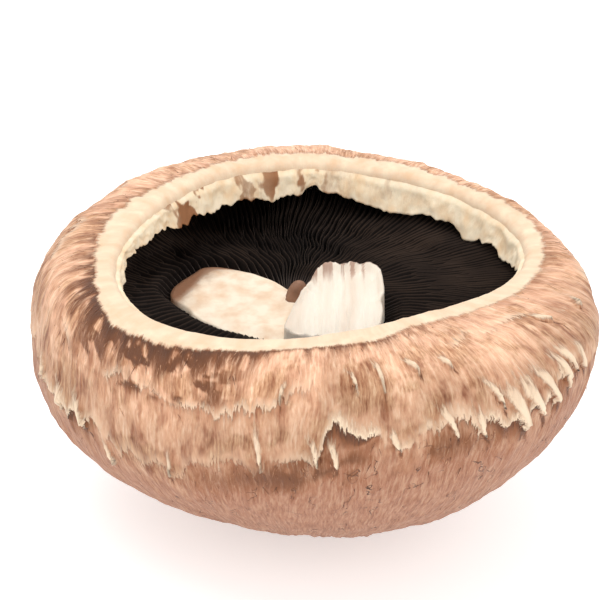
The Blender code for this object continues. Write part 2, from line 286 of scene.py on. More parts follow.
def cap_skin_material(colours):
    """Cultivated mushroom cuticle: matte, pinkish-brown, combed into fibres that run from rim to crown.

    The fields say how far each point is from the cream rim and from the torn belts, in millimetres.
    The nodes draw the single fibres, and fray those edges along them.
    """
    material, tree, shader = new_material("mushroom_skin")
    weave = add(tree, "ShaderNodeAttribute", attribute_name="weave").outputs["Vector"]
    field = {}
    for name in ("cream", "dark", "strip", "belt", "torn", "shelf", "ripped", "depth"):
        field[name] = add(tree, "ShaderNodeAttribute", attribute_name=name).outputs["Fac"]

    # Single fibres: about 0.5 mm wide and 6 mm long, bent by a broad wander.
    wander = add(tree, "ShaderNodeTexNoise", {"Vector": weave, "Scale": 0.09, "Detail": 2.0})
    bent = add(
        tree, "ShaderNodeVectorMath", {0: wander.outputs["Color"], 1: (2.4, 2.4, 0.0)}, operation="MULTIPLY"
    )
    moved = add(tree, "ShaderNodeVectorMath", {0: weave, 1: bent.outputs[0]}, operation="ADD").outputs[0]
    fine = add(tree, "ShaderNodeVectorMath", {0: moved, 1: (2.1, 2.1, 0.28)}, operation="MULTIPLY")
    fibre = add(
        tree, "ShaderNodeTexNoise",
        {"Vector": fine.outputs[0], "Scale": 1.0, "Detail": 4.0, "Roughness": 0.65}
    ).outputs["Fac"]
    wide = add(tree, "ShaderNodeVectorMath", {0: moved, 1: (0.42, 0.42, 0.13)}, operation="MULTIPLY")
    lock = add(
        tree, "ShaderNodeTexNoise",
        {"Vector": wide.outputs[0], "Scale": 1.0, "Detail": 3.0, "Roughness": 0.6}
    ).outputs["Fac"]
    blotch = add(
        tree, "ShaderNodeTexNoise", {"Vector": weave, "Scale": 0.13, "Detail": 3.0, "Roughness": 0.65}
    ).outputs["Fac"]

    # Fibrous skin against smooth pinkish skin, in patches.
    combed = set_stops(
        add(tree, "ShaderNodeValToRGB", {"Fac": fibre}),
        ((0.30, colours.skin_dark), (0.46, colours.skin), (0.58, colours.skin_light), (0.70, "#f0cfb0")),
    )
    smooth = set_stops(
        add(tree, "ShaderNodeValToRGB", {"Fac": fibre}),
        ((0.30, "#d8a587"), (0.50, "#ebbd9d"), (0.66, "#f7d2b5")),
    )
    patch = add(
        tree, "ShaderNodeMapRange", {"Value": blotch, "From Min": 0.40, "From Max": 0.55},
        interpolation_type="SMOOTHSTEP"
    ).outputs[0]
    high = add(tree, "ShaderNodeMix", {0: patch, 6: combed, 7: smooth}, data_type="RGBA").outputs[2]
    locks = set_stops(
        add(tree, "ShaderNodeValToRGB", {"Fac": lock}),
        ((0.33, "#a87e62"), (0.48, "#e8dacd"), (0.66, "#fffdf8"))
    )
    depth = field["depth"]
    matted = add(
        tree, "ShaderNodeMapRange",
        {"Value": depth, "From Min": -18.0, "From Max": -9.0, "To Min": 0.45, "To Max": 0.9}
    ).outputs[0]
    high = add(
        tree, "ShaderNodeMix", {0: matted, 6: high, 7: locks}, data_type="RGBA", blend_type="MULTIPLY"
    ).outputs[2]

    # Towards the rim it is paler, and towards the belt more deeply coloured.
    fade = add(
        tree, "ShaderNodeMapRange",
        {"Value": depth, "From Min": -17.0, "From Max": -6.0, "To Min": 1.22, "To Max": 0.82}
    )
    high = add(tree, "ShaderNodeVectorMath", {0: high, 3: fade.outputs[0]}, operation="SCALE").outputs[0]

    # Below the belt the skin is browner, partly its own colour and partly painted shade where it turns
    # under, away from the overhead light. It is smooth again near the crown.
    low_tone_and_shade = set_stops(
        add(tree, "ShaderNodeValToRGB", {"Fac": fibre}),
        ((0.32, "#8d5d44"), (0.48, colours.skin_low_and_shade), (0.64, "#bb8f73")),
    )
    sunk = add(
        tree, "ShaderNodeMapRange", {"Value": depth, "From Min": -2.0, "From Max": 9.0},
        interpolation_type="SMOOTHSTEP"
    ).outputs[0]
    tone = add(tree, "ShaderNodeMix", {0: sunk, 6: high, 7: low_tone_and_shade}, data_type="RGBA").outputs[2]

    # Fine dark cracks in the smooth low skin: thin lines where a noise crosses its middle value.
    wrinkle = add(
        tree, "ShaderNodeTexNoise", {"Vector": weave, "Scale": 0.16, "Detail": 3.0, "Roughness": 0.5}
    ).outputs["Fac"]
    line = add(tree, "ShaderNodeMath", {0: wrinkle, 1: 0.5}, operation="SUBTRACT").outputs[0]
    line = add(tree, "ShaderNodeMath", {0: line}, operation="ABSOLUTE").outputs[0]
    line = add(
        tree, "ShaderNodeMapRange",
        {"Value": line, "From Min": 0.002, "From Max": 0.006, "To Min": 1.0, "To Max": 0.0}
    ).outputs[0]
    few = add(tree, "ShaderNodeMapRange", {"Value": lock, "From Min": 0.50, "From Max": 0.58}).outputs[0]
    crack = add(tree, "ShaderNodeMath", {0: line, 1: few}, operation="MULTIPLY").outputs[0]
    crack = add(tree, "ShaderNodeMath", {0: crack, 1: sunk}, operation="MULTIPLY").outputs[0]
    tone = add(
        tree, "ShaderNodeMix", {0: crack, 6: tone, 7: linear("#5b3b2b") + (1.0,)}, data_type="RGBA"
    ).outputs[2]

    # Brown comes through between the fibres first: the fringe, and under each torn edge. Under a torn edge
    # the darkening is partly brown skin and partly painted shadow of the lifted edge.
    fray = add(tree, "ShaderNodeMath", {0: fibre, 1: 7.0, 2: -3.5}, operation="MULTIPLY_ADD").outputs[0]
    shade, cream_lip = [], []
    for edge, strength, fade, lip_width in (("belt", "torn", 8.0, 3.2), ("shelf", "ripped", 4.0, 2.4)):
        over = add(tree, "ShaderNodeMath", {0: field[edge], 1: fray}, operation="ADD").outputs[0]
        sharp = add(
            tree, "ShaderNodeMapRange", {"Value": over, "From Min": -0.25, "From Max": 0.25}
        ).outputs[0]
        near = add(
            tree, "ShaderNodeMapRange",
            {"Value": over, "From Min": 0.0, "From Max": lip_width, "To Min": 1.0, "To Max": 0.0},
            interpolation_type="SMOOTHSTEP"
        ).outputs[0]
        lip = add(tree, "ShaderNodeMath", {0: sharp, 1: near}, operation="MULTIPLY").outputs[0]
        cream_lip.append(
            add(tree, "ShaderNodeMath", {0: lip, 1: field[strength]}, operation="MULTIPLY").outputs[0]
        )
        # Painted shadow under each lifted torn edge, over the brown skin there.
        under = add(
            tree, "ShaderNodeMapRange", {"Value": over, "From Min": -fade, "From Max": 0.0}
        ).outputs[0]
        under = add(
            tree, "ShaderNodeMath", {0: under, 1: sharp}, operation="SUBTRACT", use_clamp=True
        ).outputs[0]
        shade.append(
            add(tree, "ShaderNodeMath", {0: under, 1: field[strength]}, operation="MULTIPLY").outputs[0]
        )
    brown_and_shade = add(tree, "ShaderNodeMath", {0: shade[0], 1: shade[1]}, operation="MAXIMUM").outputs[0]
    brown_and_shade = add(tree, "ShaderNodeMath", {0: brown_and_shade, 1: field["dark"]}, operation="MAXIMUM").outputs[0]
    push = add(tree, "ShaderNodeMath", {0: fibre, 1: -2.6, 2: 1.2}, operation="MULTIPLY_ADD").outputs[0]
    shown = add(tree, "ShaderNodeMath", {0: brown_and_shade, 1: 2.0, 2: push}, operation="MULTIPLY_ADD").outputs[0]
    shown = add(
        tree, "ShaderNodeMath", {0: shown, 1: brown_and_shade}, operation="MULTIPLY", use_clamp=True
    ).outputs[0]
    fringe = set_stops(
        add(tree, "ShaderNodeValToRGB", {"Fac": brown_and_shade}),
        ((0.30, colours.skin_brown), (0.60, "#8a5431"), (0.95, colours.fringe)),
    )
    tone = add(tree, "ShaderNodeMix", {0: shown, 6: tone, 7: fringe}, data_type="RGBA").outputs[2]

    # Pale flesh shows on torn edges and along peeled strips.
    frayed = add(tree, "ShaderNodeMath", {0: fibre, 1: 1.5, 2: -0.75}, operation="MULTIPLY_ADD").outputs[0]
    strip = add(tree, "ShaderNodeMath", {0: field["strip"], 1: frayed}, operation="ADD").outputs[0]
    strip = add(
        tree, "ShaderNodeMapRange", {"Value": strip, "From Min": 0.30, "From Max": 0.75},
        interpolation_type="SMOOTHSTEP"
    ).outputs[0]
    strip = add(
        tree, "ShaderNodeMath", {0: strip, 1: field["strip"]}, operation="MULTIPLY", use_clamp=True
    ).outputs[0]
    open_flesh = add(
        tree, "ShaderNodeMath", {0: cream_lip[0], 1: cream_lip[1]}, operation="MAXIMUM"
    ).outputs[0]
    open_flesh = add(
        tree, "ShaderNodeMath", {0: open_flesh, 1: strip}, operation="MAXIMUM", use_clamp=True
    ).outputs[0]
    tone = add(
        tree, "ShaderNodeMix", {0: open_flesh, 6: tone, 7: linear(colours.flesh) + (1.0,)}, data_type="RGBA"
    ).outputs[2]

    # The rim is smooth cream, faintly mottled. It ends along the fibres.
    mottle = add(
        tree, "ShaderNodeTexNoise", {"Vector": weave, "Scale": 0.3, "Detail": 4.0, "Roughness": 0.5}
    ).outputs["Fac"]
    rim = set_stops(
        add(tree, "ShaderNodeValToRGB", {"Fac": mottle}),
        ((0.30, "#e8c4a0"), (0.5, colours.cream), (0.72, "#f6dfc0")),
    )
    rim_fray = add(tree, "ShaderNodeMath", {0: fray, 1: 0.35}, operation="MULTIPLY").outputs[0]
    inside = add(tree, "ShaderNodeMath", {0: field["cream"], 1: rim_fray}, operation="ADD").outputs[0]
    where = add(
        tree, "ShaderNodeMapRange", {"Value": inside, "From Min": -0.35, "From Max": 0.45},
        interpolation_type="SMOOTHSTEP"
    ).outputs[0]
    final = add(tree, "ShaderNodeMix", {0: where, 6: tone, 7: rim}, data_type="RGBA").outputs[2]
    tree.links.new(final, shader.inputs["Base Color"])

    # Fibres stand 0.1 to 0.2 mm proud, torn edges a little more; the cream rim is nearly smooth.
    relief = add(tree, "ShaderNodeMath", {0: fibre, 1: lock}, operation="ADD").outputs[0]
    relief = add(
        tree, "ShaderNodeMath", {0: open_flesh, 1: 0.9, 2: relief}, operation="MULTIPLY_ADD"
    ).outputs[0]
    relief = add(tree, "ShaderNodeMath", {0: crack, 1: -1.0, 2: relief}, operation="MULTIPLY_ADD").outputs[0]
    calm = add(tree, "ShaderNodeMath", {0: where, 1: -0.8, 2: 1.0}, operation="MULTIPLY_ADD").outputs[0]
    height = add(tree, "ShaderNodeMath", {0: relief, 1: calm}, operation="MULTIPLY").outputs[0]
    bump = add(tree, "ShaderNodeBump", {"Height": height, "Strength": 0.8, "Distance": 0.0005})
    tree.links.new(bump.outputs[0], shader.inputs["Normal"])
    shader.inputs["Roughness"].default_value = 0.66
    shader.inputs["IOR"].default_value = 1.40
    shader.inputs["Subsurface Weight"].default_value = 0.06
    shader.inputs["Subsurface Radius"].default_value = (1.0, 0.6, 0.4)
    shader.inputs["Subsurface Scale"].default_value = 0.001
    shader.inputs["Sheen Weight"].default_value = 0.08
    shader.inputs["Sheen Roughness"].default_value = 0.5
    return material


def flesh_material(name, pale, warm, dark, stretch, bump_height):
    """Mushroom flesh: soft, matte and slightly see-through, with fine fibres along its weave."""
    material, tree, shader = new_material(name)
    weave = add(tree, "ShaderNodeAttribute", attribute_name="weave").outputs["Vector"]
    # stain_and_shade: brown stains, and on the stem's base also painted shade along its back and outer
    # edges.
    stain_and_shade = add(tree, "ShaderNodeAttribute", attribute_name="stain_and_shade").outputs["Fac"]
    scaled = add(tree, "ShaderNodeVectorMath", {0: weave, 1: stretch}, operation="MULTIPLY").outputs[0]
    fibre = add(
        tree, "ShaderNodeTexNoise", {"Vector": scaled, "Scale": 1.0, "Detail": 4.0, "Roughness": 0.6}
    )
    mottle = add(
        tree, "ShaderNodeTexNoise", {"Vector": weave, "Scale": 0.3, "Detail": 3.0, "Roughness": 0.5}
    )
    base = set_stops(
        add(tree, "ShaderNodeValToRGB", {"Fac": mottle.outputs["Fac"]}), ((0.30, warm), (0.62, pale))
    )
    spread = add(
        tree, "ShaderNodeMath", {0: fibre.outputs["Fac"], 1: -1.8, 2: 0.9}, operation="MULTIPLY_ADD"
    ).outputs[0]
    more = add(tree, "ShaderNodeMath", {0: stain_and_shade, 1: 2.0, 2: -0.5}, operation="MULTIPLY_ADD").outputs[0]
    both = add(tree, "ShaderNodeMath", {0: spread, 1: more}, operation="ADD", use_clamp=True).outputs[0]
    shown = add(tree, "ShaderNodeMath", {0: both, 1: stain_and_shade}, operation="MULTIPLY", use_clamp=True).outputs[0]
    final = add(
        tree, "ShaderNodeMix", {0: shown, 6: base, 7: linear(dark) + (1.0,)}, data_type="RGBA"
    ).outputs[2]
    tree.links.new(final, shader.inputs["Base Color"])
    bump = add(
        tree, "ShaderNodeBump", {"Height": fibre.outputs["Fac"], "Strength": 0.5, "Distance": bump_height}
    )
    tree.links.new(bump.outputs[0], shader.inputs["Normal"])
    shader.inputs["Roughness"].default_value = 0.7
    shader.inputs["IOR"].default_value = 1.38
    shader.inputs["Subsurface Weight"].default_value = 0.06
    shader.inputs["Subsurface Radius"].default_value = (1.0, 0.7, 0.5)
    shader.inputs["Subsurface Scale"].default_value = 0.001
    return material


def gill_material(colours):
    """Ripe gills dusted with spores: almost black between the blades, grey-brown along each free edge. The
    change from side to edge is partly the gills' own colour, partly painted shade between the blades and a
    painted highlight on the edges.
    """
    material, tree, shader = new_material("ripe_gills")
    edge = add(tree, "ShaderNodeAttribute", attribute_name="edge").outputs["Fac"]
    place = add(tree, "ShaderNodeTexCoord").outputs["Object"]
    patch = add(tree, "ShaderNodeTexNoise", {"Vector": place, "Scale": 110.0, "Detail": 3.0})
    side = set_stops(
        add(tree, "ShaderNodeValToRGB", {"Fac": patch.outputs["Fac"]}),
        ((0.35, colours.gill_dark), (0.65, "#241b17"))
    )
    rim = set_stops(
        add(tree, "ShaderNodeValToRGB", {"Fac": patch.outputs["Fac"]}),
        ((0.36, "#42352e"), (0.62, colours.gill_edge))
    )
    # Painted highlight along the free edges and painted shade down the sides, over the gills' own spore-dark
    # colour.
    sharp = set_stops(add(tree, "ShaderNodeValToRGB", {"Fac": edge}), ((0.55, 0.0), (0.95, 1.0)))
    final = add(tree, "ShaderNodeMix", {0: sharp, 6: side, 7: rim}, data_type="RGBA").outputs[2]
    tree.links.new(final, shader.inputs["Base Color"])
    shader.inputs["Roughness"].default_value = 0.8
    shader.inputs["IOR"].default_value = 1.35
    return material


def hair_material(colours):
    """Loose skin fibres: dry, mid to dark brown, paler towards some tips."""
    material, tree, shader = new_material("skin_fibres")
    place = add(tree, "ShaderNodeTexCoord").outputs["Object"]
    patch = add(tree, "ShaderNodeTexNoise", {"Vector": place, "Scale": 900.0, "Detail": 1.0})
    colour = set_stops(
        add(tree, "ShaderNodeValToRGB", {"Fac": patch.outputs["Fac"]}),
        ((0.35, colours.fringe), (0.5, "#8a5a40"), (0.66, "#c99a77")),
    )
    tree.links.new(colour, shader.inputs["Base Color"])
    shader.inputs["Roughness"].default_value = 0.75
    return material


def rim_to_crown_rows():
    """Shares of the way down the skin, closest together where it is torn."""
    return np.concatenate([np.linspace(0, 0.45, 73), np.linspace(0.45, 1.0, 30)[1:]])


def cap_grid(columns):
    """The cap's whole surface as rows from the hidden gill bed, over the rim, to the crown.

    Returns the bearings, the points, and each point's down, which is negative inside the rim.
    """
    bearing = np.arange(columns) * 2 * math.pi / columns
    radius, _, rim, top = cap_lines(bearing)
    under = top - 2 * RIM_ROLL
    undercut = np.hypot(np.maximum(0.0, radius - WALL - rim), UNDERCUT)
    r, z, down = [], [], []
    nose_length = math.pi * RIM_ROLL
    r.append(rim * 0.3)
    z.append(np.full(columns, BED_HEIGHT))
    down.append(np.full(columns, -nose_length - 20.0))
    for turn in np.linspace(math.pi, 0, 6):
        r.append(rim + undercut * math.sin(turn))
        z.append((under + BED_HEIGHT) / 2 + (under - BED_HEIGHT) / 2 * math.cos(turn))
        down.append(np.full(columns, -nose_length - 3.0 * turn))
    brink = inner_rim(bearing)
    for turn in np.linspace(math.pi, 0, 15)[1:-1]:
        r.append(mix(brink, rim, soft_step(2.2, 3.1, turn)) - RIM_ROLL * math.sin(turn))
        z.append(top - RIM_ROLL * (1 - math.cos(turn)))
        down.append(np.full(columns, -RIM_ROLL * turn))
    skin_r, skin_z, skin_down = skin_line(bearing, rim_to_crown_rows())
    for share in (0.66, 0.33):
        r_end, z_end = skin_r[-1] * share, skin_z[-1]
        skin_r = np.vstack([skin_r, r_end])
        skin_z = np.vstack([skin_z, z_end])
        skin_down = np.vstack([skin_down, skin_down[-1] + 3.0])
    r = np.vstack([np.array(r), skin_r])
    z = np.vstack([np.array(z), skin_z])
    down = np.vstack([np.array(down), skin_down])
    return bearing, round_points(bearing, r, z), down


def strip_fields(bearing, down, radius):
    """How bare and how lifted the peeled strips are, and how dark the skin is beside their tips: partly
    brown skin, partly painted shadow of the lifted tips.
    """
    pale = np.zeros_like(down)
    lift = np.zeros_like(down)
    shade = np.zeros_like(down)
    for root_at, root_down, tip_at, tip_down, width in STRIPS:
        turn = (bearing - math.radians(root_at) + math.pi) % (2 * math.pi) - math.pi
        across = turn[None, :] * radius
        lean = math.radians(tip_at - root_at) * radius
        length = tip_down - root_down
        share = (down - root_down) / length
        sway = 0.5 * width * np.sin(3.0 * share + 5.0 * tip_at)
        half = width / 2 * (1.1 - 0.9 * np.clip(share, 0, 1) ** 1.4)
        side = np.abs(across - lean * share - sway * (1 - share)) / half
        body = (1 - soft_step(0.55, 1.35, side)) * (1 - soft_step(0.96, 1.06, share))
        pale = np.maximum(pale, body * soft_step(-0.2, 0.8, share))
        lift = np.maximum(lift, body * soft_step(0.0, 1.0, share))
        # Painted shadow beside each lifted tip, over some brown skin there.
        beside = 1 - soft_step(1.0, 2.6, side)
        round_tip = beside * soft_step(0.35, 0.8, share) * (1 - soft_step(1.1, 1.6, share))
        shade = np.maximum(shade, round_tip * (1 - body))
    return pale, lift, shade


def skin_fields(bearing, points, down):
    """What the skin is like at each point, and how far it stands out, in millimetres."""
    radius = np.hypot(points[..., 0], points[..., 1])
    ring = np.stack([WEAVE_RADIUS * np.cos(bearing), WEAVE_RADIUS * np.sin(bearing)], -1)
    weave = np.concatenate([np.broadcast_to(ring, down.shape + (2,)), down[..., None]], -1)
    streak = rough(weave * (0.8, 0.8, 0.16), SEED)
    lumps = rough(weave / 11.0, SEED + 20)
    patch = rough(weave / 7.0, SEED + 40)

    # The cream rim ends here, and the dark fringe starts.
    cream = round_table(bearing, CREAM_EDGE) + 1.6 * (streak - 0.5) - down
    reach = round_table(bearing, FRINGE)
    past = np.maximum(-cream, 0)
    far = np.exp(-past / (reach * (0.25 + 1.5 * soft_step(0.3, 0.7, streak))))
    fringe = round_table(bearing, FRINGE, 2) * far * soft_step(-0.5, 0.3, -cream)

    # The main belt of torn skin, toothed by noise, and ragged shelves above it.
    saw = np.abs(2 * noise(weave * (0.40, 0.40, 0.0), SEED + 60) - 1)
    line = round_table(bearing, BELT) + 4.0 * (1 - saw) ** 2 - 1.5 + 3.0 * (lumps - 0.5)
    torn = round_table(bearing, BELT, 2) * soft_step(0.28, 0.5, patch)
    saw = np.abs(2 * noise(weave * (0.33, 0.33, 0.05), SEED + 64) - 1)
    shelf = 11.5 + 16.0 * (rough(weave * (0.07, 0.07, 0.0), SEED + 66) - 0.5) + 2.0 * (1 - saw) ** 2
    ripped = 0.6 * soft_step(0.46, 0.62, rough(weave / 8.0, SEED + 68))
    strip, lift, shade = strip_fields(bearing, down, radius)
    ripped = ripped * (1 - shade) * (1 - soft_step(-4.0, 2.0, down - line))
    off_band = (down - round_table(bearing, BAND) - 3.0 * (lumps - 0.5)) / BAND_REACH
    band = round_table(bearing, BAND, 2) * np.exp(-(off_band**2)) * soft_step(
        0.22, 0.5, rough(weave / 7.0, SEED + 70)
    )
    clump = round_table(bearing, CLUMPS) * soft_step(
        0.47, 0.58, rough(weave * (0.28, 0.28, 0.40), SEED + 72)
    )
    clump = clump * soft_step(CLUMPS_START, CLUMPS_START + 2, down)
    clump = clump * (1 - soft_step(CLUMPS_END - 5, CLUMPS_END, down))
    # dark: the brown fringe, band and clumps, and the painted shadow beside the strip tips.
    dark = np.clip(np.maximum.reduce([fringe, 0.85 * shade, 0.95 * band, 0.85 * clump]), 0, 1)

    belt = line - down
    lip = soft_step(-0.3, 0.3, belt) * np.exp(-np.maximum(belt, 0) / 3.0) * torn
    small = soft_step(-0.3, 0.3, shelf - down) * np.exp(-np.maximum(shelf - down, 0) / 3.0) * ripped
    outside = soft_step(0.0, 3.0, down)
    stand = 1.3 * (lumps - 0.5) * soft_step(-4, 4, down)
    stand += outside * (0.7 * (streak - 0.5) + 0.9 * lip + 0.4 * small)
    stand += outside * (1.2 * lift + 0.6 * band * (streak - 0.4))
    stand += 0.35 * (rough(weave / 3.0, SEED + 80) - 0.5) * soft_step(-8, -3, down)
    stand *= 1 - soft_step(0.86, 0.99, down / down.max(0))
    stand *= soft_step(-8.0, -5.0, down)
    fields = {
        "weave": weave.reshape(-1, 3),
        "cream": np.clip(cream, -50, 50),
        "dark": dark,
        "strip": strip,
        "belt": belt,
        "torn": torn,
        "shelf": shelf - down,
        "ripped": ripped,
        "depth": -belt,
    }
    return fields, stand


def make_cap(colours):
    bearing, points, down = cap_grid(CAP_COLUMNS)
    normal = grid_normals(points)
    fields, stand = skin_fields(bearing, points, down)
    fall = np.gradient(points, axis=0)
    fall /= np.maximum(np.linalg.norm(fall, axis=-1, keepdims=True), 1e-9)
    points = points + normal * stand[..., None]
    points[..., 2] = np.maximum(points[..., 2], 0.0)
    fields["fall"] = fall.reshape(-1, 3)
    cap = grid_object("cap_skin", points, fields)
    cap.data.materials.append(cap_skin_material(colours))
    return cap


def stem_reach(bearing):
    """Reach of the stem's base from the gill centre, eased between the stated bearings."""
    first = STEM_REACH[0][0]
    degrees = (np.degrees(bearing) - first) % 360.0 + first
    table = STEM_REACH + ((first + 360.0, STEM_REACH[0][1]),)
    reach = np.zeros_like(degrees)
    for (a, near), (b, far) in zip(table, table[1:]):
        inside = (degrees >= a) & (degrees <= b)
        reach = np.where(inside, mix(near, far, soft_step(0.0, 1.0, (degrees - a) / (b - a))), reach)
    return reach


def gill_ends(bearing):
    """Where the gills' free edges start, at the stem, and end, at the margin."""
    radius, _, rim, top = cap_lines(bearing)
    under = top - 2 * RIM_ROLL
    undercut = np.hypot(np.maximum(0.0, radius - WALL - rim), UNDERCUT)
    middle, half = (under + BED_HEIGHT) / 2, (under - BED_HEIGHT) / 2
    turn = np.arccos((top - MARGIN_DROP - middle) / half)
    outer = round_points(bearing, rim + undercut * np.sin(turn) - 0.3, top - MARGIN_DROP)
    inner = round_points(bearing, stem_reach(bearing) + 0.3, GILL_HEIGHT, GILL_CENTRE)
    return inner, outer


def gill_tree(material):
    """Instances one blade on each foot and stretches it from the stem to the margin."""
    tree = bpy.data.node_groups.new("gill_blades", "GeometryNodeTree")
    face = tree.interface
    face.new_socket("Feet", in_out="INPUT", socket_type="NodeSocketGeometry")
    for name, value in (("Blade Thickness", 0.3), ("Blade Depth", 6.0), ("Waviness", 1.0)):
        socket = face.new_socket(name, in_out="INPUT", socket_type="NodeSocketFloat")
        socket.default_value = value
    steps = face.new_socket("Steps Along", in_out="INPUT", socket_type="NodeSocketInt")
    steps.default_value = 22
    face.new_socket("Gills", in_out="OUTPUT", socket_type="NodeSocketGeometry")
    given = add(tree, "NodeGroupInput").outputs

    # A flat strip five rows wide, along X from 0 to 1, is folded into a blade later.
    strip = add(
        tree, "GeometryNodeMeshGrid",
        {"Size X": 1.0, "Size Y": 2.0, "Vertices X": given["Steps Along"], "Vertices Y": 5}
    )
    spot = add(tree, "GeometryNodeInputPosition").outputs[0]
    half = add(tree, "ShaderNodeVectorMath", {0: spot, 1: (0.5, 0.0, 0.0)}, operation="ADD").outputs[0]
    kept = add(
        tree, "GeometryNodeStoreNamedAttribute",
        {"Geometry": strip.outputs["Mesh"], "Name": "own", "Value": half},
        data_type="FLOAT_VECTOR", domain="POINT",
    )  # fmt: skip
    blades = add(
        tree, "GeometryNodeInstanceOnPoints", {"Points": given["Feet"], "Instance": kept.outputs[0]}
    )
    real = add(tree, "GeometryNodeRealizeInstances", {"Geometry": blades.outputs[0]}).outputs[0]

    own = add(tree, "GeometryNodeInputNamedAttribute", {"Name": "own"}, data_type="FLOAT_VECTOR").outputs[0]
    inner = add(
        tree, "GeometryNodeInputNamedAttribute", {"Name": "inner"}, data_type="FLOAT_VECTOR"
    ).outputs[0]
    outer = add(
        tree, "GeometryNodeInputNamedAttribute", {"Name": "outer"}, data_type="FLOAT_VECTOR"
    ).outputs[0]
    start = add(tree, "GeometryNodeInputNamedAttribute", {"Name": "start"}, data_type="FLOAT").outputs[0]
    phase = add(tree, "GeometryNodeInputNamedAttribute", {"Name": "phase"}, data_type="FLOAT").outputs[0]
    split = add(tree, "ShaderNodeSeparateXYZ", {0: own}).outputs
    share = add(tree, "ShaderNodeMapRange", {"Value": split["X"], "To Min": start, "To Max": 1.0}).outputs[0]
    aside = add(tree, "ShaderNodeMath", {0: split["Y"]}, operation="ABSOLUTE").outputs[0]
    edge = add(
        tree, "ShaderNodeMath", {0: aside, 1: -2.0, 2: 1.0}, operation="MULTIPLY_ADD", use_clamp=True
    ).outputs[0]

    level = add(tree, "ShaderNodeMix", {0: share, 4: inner, 5: outer}, data_type="VECTOR").outputs[1]
    run = add(tree, "ShaderNodeVectorMath", {0: outer, 1: inner}, operation="SUBTRACT").outputs[0]
    side = add(
        tree, "ShaderNodeVectorMath", {0: run, 1: (0.0, 0.0, 1.0)}, operation="CROSS_PRODUCT"
    ).outputs[0]
    side = add(tree, "ShaderNodeVectorMath", {0: side}, operation="NORMALIZE").outputs[0]

    # Height: level near the stem, turning up late towards the margin; short blades start lower.
    heights = [add(tree, "ShaderNodeSeparateXYZ", {0: end}).outputs["Z"] for end in (inner, outer)]
    rise = add(tree, "ShaderNodeMath", {0: share, 1: MARGIN_RISE}, operation="POWER").outputs[0]
    tall = add(tree, "ShaderNodeMix", {0: rise, 2: heights[0], 3: heights[1]}, data_type="FLOAT").outputs[0]
    nose = add(
        tree, "ShaderNodeMapRange", {"Value": split["X"], "From Max": 0.18, "To Min": 0.5, "To Max": 0.0},
        interpolation_type="SMOOTHSTEP"
    ).outputs[0]
    deep = add(tree, "ShaderNodeMath", {0: aside, 1: 3.0}, operation="POWER").outputs[0]
    deep = add(tree, "ShaderNodeMath", {0: deep, 1: nose}, operation="MAXIMUM").outputs[0]
    drop = add(tree, "ShaderNodeMath", {0: deep, 1: given["Blade Depth"]}, operation="MULTIPLY").outputs[0]
    drop = add(tree, "ShaderNodeMath", {0: drop, 1: MM}, operation="MULTIPLY").outputs[0]
    z = add(tree, "ShaderNodeMath", {0: tall, 1: drop}, operation="SUBTRACT").outputs[0]

    # Sideways: a wander shared by neighbours, a little of each blade's own, and half the thickness.
    shared = add(tree, "ShaderNodeTexNoise", {"Vector": level, "Scale": 75.0, "Detail": 1.5})
    alone = add(
        tree, "ShaderNodeTexNoise", {"Vector": level, "W": phase, "Scale": 160.0, "Detail": 1.0},
        noise_dimensions="4D"
    )
    wander = add(
        tree, "ShaderNodeMath", {0: shared.outputs["Fac"], 1: 7.0, 2: -3.5}, operation="MULTIPLY_ADD"
    ).outputs[0]
    little = add(
        tree, "ShaderNodeMath", {0: alone.outputs["Fac"], 1: 1.3, 2: -0.65}, operation="MULTIPLY_ADD"
    ).outputs[0]
    both = add(tree, "ShaderNodeMath", {0: wander, 1: little}, operation="ADD").outputs[0]
    bow = add(tree, "ShaderNodeMath", {0: share, 1: math.pi}, operation="MULTIPLY").outputs[0]
    bow = add(tree, "ShaderNodeMath", {0: bow}, operation="SINE").outputs[0]
    both = add(tree, "ShaderNodeMath", {0: both, 1: bow}, operation="MULTIPLY").outputs[0]
    both = add(tree, "ShaderNodeMath", {0: both, 1: given["Waviness"]}, operation="MULTIPLY").outputs[0]
    thick = add(
        tree, "ShaderNodeMath", {0: split["Y"], 1: given["Blade Thickness"]}, operation="MULTIPLY"
    ).outputs[0]
    off = add(tree, "ShaderNodeMath", {0: both, 1: thick}, operation="ADD").outputs[0]
    off = add(tree, "ShaderNodeMath", {0: off, 1: MM}, operation="MULTIPLY").outputs[0]
    push = add(tree, "ShaderNodeVectorMath", {0: side, "Scale": off}, operation="SCALE").outputs[0]
    place = add(tree, "ShaderNodeVectorMath", {0: level, 1: push}, operation="ADD").outputs[0]
    flat = add(tree, "ShaderNodeSeparateXYZ", {0: place}).outputs
    final = add(tree, "ShaderNodeCombineXYZ", {"X": flat["X"], "Y": flat["Y"], "Z": z}).outputs[0]
    marked = add(
        tree, "GeometryNodeStoreNamedAttribute", {"Geometry": real, "Name": "edge", "Value": edge},
        data_type="FLOAT", domain="POINT",
    ).outputs[0]  # fmt: skip
    moved = add(tree, "GeometryNodeSetPosition", {"Geometry": marked, "Position": final}).outputs[0]
    whole = add(tree, "GeometryNodeRealizeInstances", {"Geometry": moved}).outputs[0]
    coated = add(tree, "GeometryNodeSetMaterial", {"Geometry": whole, "Material": material}).outputs[0]
    add(tree, "NodeGroupOutput", {"Gills": coated})
    return tree


def grow(source, tree, values, name):
    """Runs a node tree on source and keeps its result as a plain mesh object of that name."""
    modifier = source.modifiers.new(tree.name, "NODES")
    modifier.node_group = tree
    sockets = {item.name: item.identifier for item in tree.interface.items_tree if item.in_out == "INPUT"}
    for key, value in values.items():
        modifier[sockets[key]] = value
    evaluated = source.evaluated_get(bpy.context.evaluated_depsgraph_get())
    mesh = bpy.data.meshes.new_from_object(evaluated)
    source.modifiers.remove(modifier)
    mesh.name = name
    thing = bpy.data.objects.new(name, mesh)
    bpy.context.scene.collection.objects.link(thing)
    return thing


